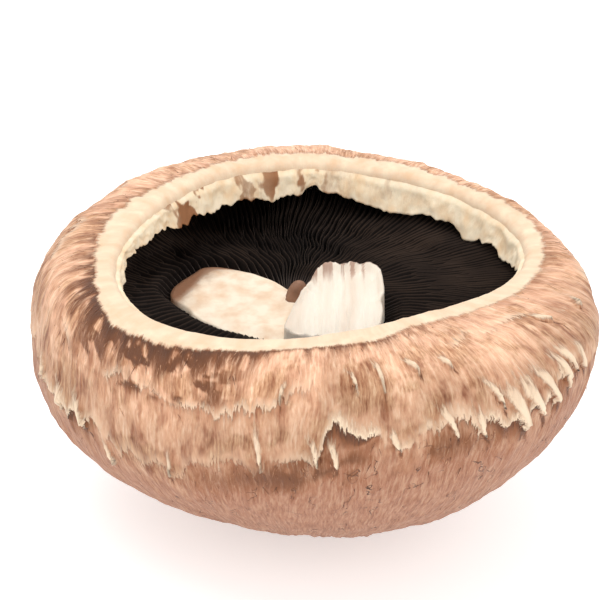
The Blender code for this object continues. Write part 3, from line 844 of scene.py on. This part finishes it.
def join(name, things):
    """Joins the objects into the first one, under this name."""
    bpy.ops.object.select_all(action="DESELECT")
    for thing in things:
        thing.select_set(True)
    bpy.context.view_layer.objects.active = things[0]
    bpy.ops.object.join()
    things[0].name = name
    things[0].data.name = name
    return things[0]


def make_gills(sizes, colours):
    material = gill_material(colours)
    feet = sizes.full_gills
    rows = []
    for start, count, offset in ((0.0, feet, 0.0), (0.28, feet, 0.5), (0.55, 2 * feet, 0.25)):
        rows.append(((np.arange(count) + offset) * 2 * math.pi / count, start))
    bearing = np.concatenate([row[0] for row in rows])
    start = np.concatenate([np.full(len(row[0]), row[1]) for row in rows])
    chance = np.random.default_rng(SEED)
    bearing = bearing + chance.normal(0, 0.12, len(bearing)) * 2 * math.pi / (4 * feet)
    start = np.clip(start + chance.normal(0, 0.05, len(start)) * (start > 0), 0, 0.9)
    inner, outer = gill_ends(bearing)
    fields = {
        "inner": inner * MM,
        "outer": outer * MM,
        "start": start,
        "phase": np.arange(len(bearing)) * 1.7,
    }
    source = mesh_object("gill_feet", inner, [], fields)
    values = {
        "Blade Thickness": sizes.gill_thickness / MM,
        "Blade Depth": sizes.gill_depth / MM,
        "Waviness": sizes.gill_waviness,
    }
    blades = grow(source, gill_tree(material), values, "gill_blades")
    bpy.data.objects.remove(source, do_unlink=True)

    # The bed that the blades grow from, a little above the blades' roots.
    turn = np.arange(240) * 2 * math.pi / 240
    inner, outer = gill_ends(turn)
    rows = []
    for share in np.linspace(0, 1, 14):
        line = mix(inner, outer, share)
        line[:, 2] = mix(inner[:, 2], outer[:, 2], share**MARGIN_RISE) - mix(4.5, 3.0, share)
        rows.append(line)
    for ends, drop in ((outer, 8.0), (mix(outer, inner, 0.1), 12.0), (inner, 10.5)):
        line = ends.copy()
        line[:, 2] -= drop
        rows.append(line)
    rows = np.array(rows)
    faces_closed = np.concatenate([rows, rows[:1]])
    bed = grid_object(
        "gill_bed", faces_closed, {"edge": np.zeros(faces_closed.shape[:2])}, closed_ends=False
    )
    bed.data.materials.append(material)
    return join("gill_ring", [bed, blades])


def make_stem():
    """The smooth broken base, the stump on it, and the small brown knob between them."""
    count = 220
    turn = np.arange(count) * 2 * math.pi / count
    reach = stem_reach(turn)
    rows, stains_and_shade = [], []
    shares = np.concatenate([[1.0, 1.0, 1.0], np.linspace(1.0, 0.05, 34)])
    levels = np.concatenate([[35.0, 39.0, 41.5], np.zeros(34)])
    for number, share in enumerate(shares):
        points = round_points(turn, reach * share, 0.0, GILL_CENTRE) - PLACE
        x, y = points[:, 0], points[:, 1]
        if levels[number]:
            z = np.full(count, levels[number])
        else:
            rim_part = soft_step(0.70, 1.0, share)
            dip = np.exp(-(((x + 15) / 8) ** 2 + ((y + 1) / 6) ** 2))
            z = 43.9 - 0.9 * rim_part**2 + 0.07 * (y - 3.0) - 0.8 * dip
            z = z + 0.9 * (rough(np.stack([x, y, y * 0], -1) / 6.0, SEED + 100) - 0.5)
        rows.append(np.stack([x, y, z], -1) + PLACE)
        # Painted shade: darker towards the base's back edge and outer edge, where the gills shade it. The
        # brown at its left end is a real stain.
        back_shade = soft_step(2.0, 9.0, y + 0.15 * x + 4) * soft_step(0.5, 1.0, share)
        left = soft_step(-22.0, -28.0, x) * soft_step(-2.0, 6.0, y)
        stains_and_shade.append(np.clip(0.75 * back_shade + 0.9 * left + 0.25 * soft_step(0.8, 1.0, share), 0, 1))
    points = np.array(rows)
    base = grid_object("stem_base", points, {"weave": points.reshape(-1, 3), "stain_and_shade": np.array(stains_and_shade)})
    base.data.materials.append(
        flesh_material("stem_base_flesh", "#f6e6d0", "#e6c8aa", "#94694e", (0.5, 0.5, 0.5), 0.0003)
    )

    # The stump: a wedge whose long broken face slopes down to the front.
    count = 200
    turn = np.arange(count) * 2 * math.pi / count
    reach = round_table(turn, STUMP_REACH)
    for _ in range(6):
        reach = (np.roll(reach, 1) + 2 * reach + np.roll(reach, -1)) / 4
    x0, y0 = STUMP_CENTRE
    circle = np.stack([np.cos(turn), np.sin(turn), turn * 0], -1)
    ragged = 1.5 * (rough(circle * 5.0, SEED + 130) - 0.5) + 0.7 * (rough(circle * 16.0, SEED + 131) - 0.5)
    rows, stains_and_shade, weaves = [], [], []
    for share in np.linspace(0, 1, 26):
        ripple = 1 + 0.06 * (rough(circle * 4.0 + (0, 0, share), SEED + 120) - 0.5)
        spread = 1.06 - 0.06 * share
        x = x0 + reach * ripple * spread * np.cos(turn)
        y = y0 + reach * ripple * spread * np.sin(turn)
        top = STUMP_TOP + STUMP_SLOPE * (y - y0) + ragged * soft_step(-2, 5, y - y0)
        z = mix(36.0, top, share)
        rows.append(np.stack([x, y, z], -1))
        stains_and_shade.append(0.8 * soft_step(0.75, 1.0, share) * soft_step(0, 5, y - y0 - 0.4 * (x - x0)))
        weaves.append(np.stack([reach * np.cos(turn), reach * np.sin(turn), z], -1))
    edge = rows[-1]
    for share in np.concatenate([[0.975, 0.94], np.linspace(0.88, 0.04, 22)]):
        x = x0 + (edge[:, 0] - x0) * share
        y = y0 + (edge[:, 1] - y0) * share
        grain = rough(np.stack([x * 0.9, y * 0.18, x * 0], -1), SEED + 140) - 0.5
        z = STUMP_TOP + STUMP_SLOPE * (y - y0) + ragged * soft_step(
            0.6, 1.0, share
        ) * soft_step(-2, 5, y - y0)
        z = z + 0.9 * grain - 0.8 * (1 - soft_step(0.85, 1.0, share)) * soft_step(-7, 4, y - y0)
        rows.append(np.stack([x, y, z], -1))
        streaks = soft_step(0.5, 0.62, rough(np.stack([x * 1.3, y * 0.12, x * 0], -1), SEED + 150))
        browned = soft_step(-6, -9, x - x0 - 0.5 * (y - y0))
        stains_and_shade.append(0.75 * streaks * soft_step(2.0, 7.0, y - y0) + 0.35 * browned)
        weaves.append(np.stack([x, y * 0.12, z * 0], -1))
    points = np.array(rows) + PLACE * (0, 0, 1)
    fields = {"weave": np.array(weaves).reshape(-1, 3), "stain_and_shade": np.array(stains_and_shade)}
    stump = grid_object("stem_stump", points, fields)
    stump.data.materials.append(
        flesh_material("stem_stump_flesh", "#f5eada", "#e8d5c2", "#a87c68", (2.2, 2.2, 0.25), 0.0004)
    )

    count = 40
    turn = np.arange(count) * 2 * math.pi / count
    rows = []
    for lift in np.linspace(0, 1, 16):
        swell = math.sqrt(max(0.0, 1 - lift**3))
        around = np.stack([2 * np.cos(turn), 2 * np.sin(turn), turn * 0 + 3 * lift], -1)
        wobble = 1 + 0.35 * (rough(around, SEED + 150) - 0.5)
        r = 2.3 * swell * wobble + 0.02
        height = 41.0 + 6.4 * lift + turn * 0
        rows.append(np.stack([-4.2 + r * np.cos(turn) + lift, 2.4 + r * np.sin(turn), height], -1))
    points = np.array(rows) + PLACE
    knob = grid_object(
        "stem_knob", points, {"weave": points.reshape(-1, 3), "stain_and_shade": np.full(points.shape[:2], 0.35)}
    )
    knob.data.materials.append(
        flesh_material("browned_knob", "#9a735c", "#7d5a46", "#4a3226", (1.0, 1.0, 0.5), 0.0003)
    )
    return join("stem_break", [base, stump, knob])


# The stump's outline from its centre, and its broken face, in the row frame: (bearing, reach).
STUMP_CENTRE = (5.5, -8.0)
STUMP_REACH = (
    (0, 7.9), (45, 10.4), (90, 7.4), (117, 8.2), (150, 7.0), (179, 8.1), (199, 10.4), (
        210, 12.8
    ), (229, 9.9),
    (270, 7.4), (317, 9.6),
)  # fmt: skip
STUMP_TOP = 47.9
STUMP_SLOPE = 0.54

# Brown fibrous band below the belt: (bearing, middle, strength), and half its width.
BAND = (
    (-170, 30.0, 0.15), (-150, 29.0, 0.3), (-125, 30.0, 0.25), (-112, 29.0, 0.6), (-100, 28.5, 0.8),
    (-88, 27.5, 0.85), (
        -76, 29.0, 0.85
    ), (-64, 31.0, 0.7), (-50, 34.5, 0.5), (-35, 31.0, 0.5), (-15, 28.0, 0.3),
    (60, 29.0, 0.25), (120, 29.0, 0.35),
)  # fmt: skip
BAND_REACH = 6.5
# Brown clumps in the skin below the fringe: (bearing, strength), and where they lie.
CLUMPS = (
    (-165, 0.3), (-145, 0.8), (-130, 1.0), (-112, 0.9), (-98, 0.4), (-60, 0.25), (0, 0.3), (90, 0.3),
    (160, 0.4)
)
CLUMPS_START = 3.0
CLUMPS_END = 17.0

# Veil: how far it hangs below the rim's nose: (bearing, length, brown stain).
VEIL_HANG = (
    (-170, 1.8, 0.0), (-140, 1.2, 0.1), (-110, 1.0, 0.1), (-80, 1.2, 0.1), (-50, 1.0, 0.1), (-20, 1.2, 0.2),
    (5, 1.6, 0.1), (20, 3.6, 0.0), (32, 5.6, 0.0), (44, 5.0, 0.0), (56, 4.2, 0.2), (66, 4.8, 0.5), (
        74, 4.4, 0.3
    ),
    (84, 5.0, 0.5), (94, 5.2, 0.95), (104, 5.2, 1.0), (114, 5.6, 0.7), (124, 5.2, 0.9), (136, 5.6, 1.0),
    (148, 5.2, 1.0), (158, 4.0, 0.6), (172, 2.4, 0.1),
)  # fmt: skip


def make_veil():
    columns = 720
    bearing = np.arange(columns) * 2 * math.pi / columns
    rim, top = inner_rim(bearing), cap_lines(bearing)[3]
    hang = round_table(bearing, VEIL_HANG)
    stained = round_table(bearing, VEIL_HANG, 2)
    ring = np.stack([WEAVE_RADIUS * np.cos(bearing), WEAVE_RADIUS * np.sin(bearing), bearing * 0], -1)
    tear = rough(ring / 8.0, SEED + 200, 4)
    fine = rough(ring / 1.6, SEED + 210, 2)
    length = hang * (0.88 + 1.5 * (tear - 0.5)) + 0.9 * (fine - 0.5)
    rows, stains_and_shade, weaves = [], [], []
    shares = np.linspace(0, 1, 20)
    for side in (0, 1):
        for share in shares if side == 0 else shares[::-1]:
            inward = 0.55 * soft_step(0, 0.35, share) + 0.38 * length * share**1.4
            lumps = rough(ring / 4.5 + np.array((0, 0, share * 1.3)), SEED + 220)
            out = 2.0 * (lumps - 0.5) * soft_step(0.1, 0.6, share)
            thick = (0.55 - 0.45 * share) * side
            r = rim - RIM_ROLL * (0.72 + 0.28 * soft_step(0, 0.3, share)) - inward + out + thick
            z = top - RIM_ROLL * 0.45 - share * (length + RIM_ROLL * 0.55)
            rows.append(round_points(bearing, r, z))
            spot = rough(ring / 4.5 + np.array((0, 0, share * 1.6)), SEED + 230)
            stains_and_shade.append(stained * soft_step(0.46, 0.56, spot) + 0.25 * soft_step(0.9, 1.0, share))
            weaves.append(ring + np.array((0, 0, share * 6.0)))
    points = np.array(rows)
    points = np.concatenate([points, points[:1]])
    stains_and_shade.append(stains_and_shade[0])
    weaves.append(weaves[0])
    veil = grid_object(
        "veil_shreds", points, {"weave": np.array(weaves).reshape(-1, 3), "stain_and_shade": np.array(stains_and_shade)},
        closed_ends=False
    )
    veil.data.materials.append(
        flesh_material("veil_tissue", "#fdeacc", "#f3d2aa", "#9c6a46", (0.9, 0.9, 0.5), 0.0004)
    )
    return veil


def hair_tree(material):
    """Scatters short tapered fibres over the dark fringe, combed down the skin."""
    tree = bpy.data.node_groups.new("fringe_hairs", "GeometryNodeTree")
    face = tree.interface
    face.new_socket("Skin", in_out="INPUT", socket_type="NodeSocketGeometry")
    for name, value in (
        ("Hairs Per Square Metre", 400000.0), ("Hair Length", 0.003), ("Hair Thickness", 0.0001)
    ):
        socket = face.new_socket(name, in_out="INPUT", socket_type="NodeSocketFloat")
        socket.default_value = value
    face.new_socket("Hairs", in_out="OUTPUT", socket_type="NodeSocketGeometry")
    given = add(tree, "NodeGroupInput").outputs
    dark = add(tree, "GeometryNodeInputNamedAttribute", {"Name": "dark"}, data_type="FLOAT").outputs[0]
    fall = add(
        tree, "GeometryNodeInputNamedAttribute", {"Name": "fall"}, data_type="FLOAT_VECTOR"
    ).outputs[0]
    thick = add(tree, "ShaderNodeMath", {0: dark, 1: 0.25}, operation="SUBTRACT", use_clamp=True).outputs[0]
    density = add(
        tree, "ShaderNodeMath", {0: thick, 1: given["Hairs Per Square Metre"]}, operation="MULTIPLY"
    ).outputs[0]
    spots = add(
        tree, "GeometryNodeDistributePointsOnFaces",
        {"Mesh": given["Skin"], "Density": density, "Seed": SEED}
    )
    lean = add(
        tree, "FunctionNodeRandomValue", {0: (-0.55, -0.55, -0.3), 1: (0.55, 0.55, 0.3), "Seed": 2},
        data_type="FLOAT_VECTOR"
    ).outputs[0]
    lift = add(
        tree, "ShaderNodeVectorMath", {0: spots.outputs["Normal"], "Scale": 0.22}, operation="SCALE"
    ).outputs[0]
    way = add(tree, "ShaderNodeVectorMath", {0: fall, 1: lift}, operation="ADD").outputs[0]
    way = add(tree, "ShaderNodeVectorMath", {0: way, 1: lean}, operation="ADD").outputs[0]
    turned = add(tree, "FunctionNodeAlignRotationToVector", {"Vector": way}, axis="Z").outputs[0]
    size = add(tree, "FunctionNodeRandomValue", {2: 0.4, 3: 1.2, "Seed": 3}, data_type="FLOAT").outputs[1]
    cone = add(
        tree, "GeometryNodeMeshCone",
        {
            "Vertices": 3, "Side Segments": 2, "Radius Top": 0.0, "Radius Bottom": given["Hair Thickness"],
            "Depth": given["Hair Length"]
        },
        fill_type="NONE",
    ).outputs["Mesh"]  # fmt: skip
    hairs = add(
        tree, "GeometryNodeInstanceOnPoints",
        {"Points": spots.outputs["Points"], "Instance": cone, "Rotation": turned, "Scale": size}
    )
    whole = add(tree, "GeometryNodeRealizeInstances", {"Geometry": hairs.outputs[0]}).outputs[0]
    coated = add(tree, "GeometryNodeSetMaterial", {"Geometry": whole, "Material": material}).outputs[0]
    add(tree, "NodeGroupOutput", {"Hairs": coated})
    return tree


def make_hairs(sizes, colours, cap):
    values = {
        "Hairs Per Square Metre": sizes.hair_density,
        "Hair Length": sizes.hair_length,
        "Hair Thickness": sizes.hair_thickness,
    }
    return grow(cap, hair_tree(hair_material(colours)), values, "fringe_hairs")


def floor_material():
    """White acrylic of a light table, faintly lit from below."""
    material, _, shader = new_material("light_table_acrylic")
    shader.inputs["Base Color"].default_value = (0.8, 0.8, 0.8, 1.0)
    shader.inputs["Emission Color"].default_value = (1.0, 1.0, 1.0, 1.0)
    shader.inputs["Emission Strength"].default_value = 0.50
    shader.inputs["Roughness"].default_value = 0.6
    return material


class MushroomSizes(bpy.types.PropertyGroup):
    full_gills: bpy.props.IntProperty(
        name="Full gills",
        description="Blades that reach the stem; there are three times as many short ones", default=110,
        min=20
    )
    gill_thickness: bpy.props.FloatProperty(
        name="Gill thickness", description="Half the thickness of a blade at its root", default=0.28 * MM,
        unit="LENGTH", precision=5
    )
    gill_depth: bpy.props.FloatProperty(
        name="Gill depth", description="From a blade's free edge to its root", default=6.0 * MM,
        unit="LENGTH"
    )
    gill_waviness: bpy.props.FloatProperty(
        name="Gill waviness", description="How much the blades wander sideways", default=1.0, min=0.0,
        subtype="FACTOR"
    )
    hair_density: bpy.props.FloatProperty(
        name="Hair density", description="Loose fibres per square metre of fully dark fringe",
        default=1200000.0, min=0.0
    )
    hair_length: bpy.props.FloatProperty(
        name="Hair length", description="Longest loose fibre", default=2.6 * MM, unit="LENGTH"
    )
    hair_thickness: bpy.props.FloatProperty(
        name="Hair thickness", description="Radius of a loose fibre at its root", default=0.09 * MM,
        unit="LENGTH", precision=5
    )


class MushroomColours(bpy.types.PropertyGroup):
    skin: bpy.props.FloatVectorProperty(
        name="Skin", description="Main colour of the cap's skin", subtype="COLOR", min=0.0, max=1.0,
        default=linear("#c69775")
    )
    skin_light: bpy.props.FloatVectorProperty(
        name="Light skin", description="Palest fibres", subtype="COLOR", min=0.0, max=1.0,
        default=linear("#dfb491")
    )
    skin_dark: bpy.props.FloatVectorProperty(
        name="Dark skin", description="Darkest fibres", subtype="COLOR", min=0.0, max=1.0,
        default=linear("#965e3f")
    )
    skin_brown: bpy.props.FloatVectorProperty(
        name="Brown skin", description="Brown locks of fibre", subtype="COLOR", min=0.0, max=1.0,
        default=linear("#a4653f")
    )
    # Low skin colour, darkened as painted shade where the skin turns under, away from the overhead light.
    skin_low_and_shade: bpy.props.FloatVectorProperty(
        name="Low skin", description="Smooth skin towards the crown", subtype="COLOR", min=0.0, max=1.0,
        default=linear("#a8755a")
    )
    fringe: bpy.props.FloatVectorProperty(
        name="Fringe", description="Dark fringe beside the rim", subtype="COLOR", min=0.0, max=1.0,
        default=linear("#5c3824")
    )
    cream: bpy.props.FloatVectorProperty(
        name="Cream", description="Smooth rolled rim", subtype="COLOR", min=0.0, max=1.0,
        default=linear("#edd0b1")
    )
    flesh: bpy.props.FloatVectorProperty(
        name="Flesh", description="Pale flesh in the tears", subtype="COLOR", min=0.0, max=1.0,
        default=linear("#f5dcbe")
    )
    # Gill side colour, partly painted shade between the blades.
    gill_dark: bpy.props.FloatVectorProperty(
        name="Gill side", description="Sides of the gills", subtype="COLOR", min=0.0, max=1.0,
        default=linear("#1c1411")
    )
    # Gill edge colour, partly a painted highlight where light catches the free edges.
    gill_edge: bpy.props.FloatVectorProperty(
        name="Gill edge", description="Free edges of the gills", subtype="COLOR", min=0.0, max=1.0,
        default=linear("#524238")
    )


class MUSHROOM_OT_cap(bpy.types.Operator):
    """Grow the cap's skin, from the rolled rim to the crown, with its loose fibres"""

    bl_idname = "mushroom.cap"
    bl_label = "Cap"

    def execute(self, context):
        scene = context.scene
        cap = make_cap(scene.mushroom_colours)
        hairs = make_hairs(scene.mushroom_sizes, scene.mushroom_colours, cap)
        for piece in (cap, hairs):
            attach(piece, "root")
        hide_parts("cap")
        return {"FINISHED"}


class MUSHROOM_OT_gills(bpy.types.Operator):
    """Grow the gills on their bed"""

    bl_idname = "mushroom.gills"
    bl_label = "Gills"

    def execute(self, context):
        gills = make_gills(context.scene.mushroom_sizes, context.scene.mushroom_colours)
        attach(gills, "root")
        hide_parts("gills")
        return {"FINISHED"}


class MUSHROOM_OT_stem(bpy.types.Operator):
    """Make the broken stem: its smooth base, the stump and the brown knob"""

    bl_idname = "mushroom.stem"
    bl_label = "Stem"

    def execute(self, context):
        stem = make_stem()
        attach(stem, "root")
        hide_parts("stem")
        return {"FINISHED"}


class MUSHROOM_OT_veil(bpy.types.Operator):
    """Hang the torn veil inside the rim"""

    bl_idname = "mushroom.veil"
    bl_label = "Veil"

    def execute(self, context):
        veil = make_veil()
        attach(veil, "root")
        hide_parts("veil")
        return {"FINISHED"}


class MUSHROOM_OT_stage(bpy.types.Operator):
    """Set up the pale floor, the soft lights and the camera"""

    bl_idname = "mushroom.stage"
    bl_label = "Stage"

    def execute(self, context):
        scene = context.scene
        size = 3000.0
        corners = np.array([(-size, -size, 0), (size, -size, 0), (size, size, 0), (-size, size, 0)], float)
        floor = mesh_object("floor", corners, [(0, 1, 2, 3)])
        floor.data.materials.append(floor_material())

        world = bpy.data.worlds.new("white_tent")
        world.use_nodes = True
        world.node_tree.nodes["Background"].inputs["Color"].default_value = (1.0, 1.0, 1.0, 1.0)
        world.node_tree.nodes["Background"].inputs["Strength"].default_value = 0.90
        scene.world = world
        for name, place, width, power in (
            ("overhead_softbox", (-0.15, 0.10, 0.75), 0.7, 2.4),
            ("front_softbox", (0.35, -0.70, 0.55), 0.6, 1.2),
        ):
            light = bpy.data.lights.new(name, "AREA")
            light.shape = "SQUARE"
            light.size = width
            light.energy = power
            lamp = bpy.data.objects.new(name, light)
            scene.collection.objects.link(lamp)
            lamp.location = place
            lamp.rotation_euler = (Vector((0, 0, 0.03)) - Vector(place)).to_track_quat("-Z", "Y").to_euler()

        lens = bpy.data.cameras.new("camera")
        lens.sensor_width = 36.0
        lens.lens = 135.0
        camera = bpy.data.objects.new("camera", lens)
        scene.collection.objects.link(camera)
        camera.location = (0.64 * MM, -401.75 * MM, 233.3 * MM)
        camera.rotation_euler = (math.radians(64.64), 0.0, math.radians(0.43))
        scene.camera = camera
        scene.view_settings.view_transform = "Standard"
        return {"FINISHED"}


PIECES = (MUSHROOM_OT_cap, MUSHROOM_OT_gills, MUSHROOM_OT_stem, MUSHROOM_OT_veil, MUSHROOM_OT_stage)


class MUSHROOM_PT_panel(bpy.types.Panel):
    """Sizes, colours and a button for each piece"""

    bl_idname = "MUSHROOM_PT_panel"
    bl_label = "Portobello mushroom"
    bl_space_type = "VIEW_3D"
    bl_region_type = "UI"
    bl_category = "Mushroom"

    def draw(self, context):
        for group in (context.scene.mushroom_sizes, context.scene.mushroom_colours):
            box = self.layout.box()
            for name in group.__annotations__:
                box.prop(group, name)
        for piece in PIECES:
            self.layout.operator(piece.bl_idname)


CLASSES = (MushroomSizes, MushroomColours, *PIECES, MUSHROOM_PT_panel)


def register():
    for each in CLASSES:
        bpy.utils.register_class(each)
    bpy.types.Scene.mushroom_sizes = bpy.props.PointerProperty(type=MushroomSizes)
    bpy.types.Scene.mushroom_colours = bpy.props.PointerProperty(type=MushroomColours)


def unregister():
    del bpy.types.Scene.mushroom_colours
    del bpy.types.Scene.mushroom_sizes
    for each in reversed(CLASSES):
        bpy.utils.unregister_class(each)


def main():
    register()
    bpy.ops.mushroom.cap()
    bpy.ops.mushroom.gills()
    bpy.ops.mushroom.stem()
    bpy.ops.mushroom.veil()
    bpy.ops.mushroom.stage()


if __name__ == "__main__":
    main()
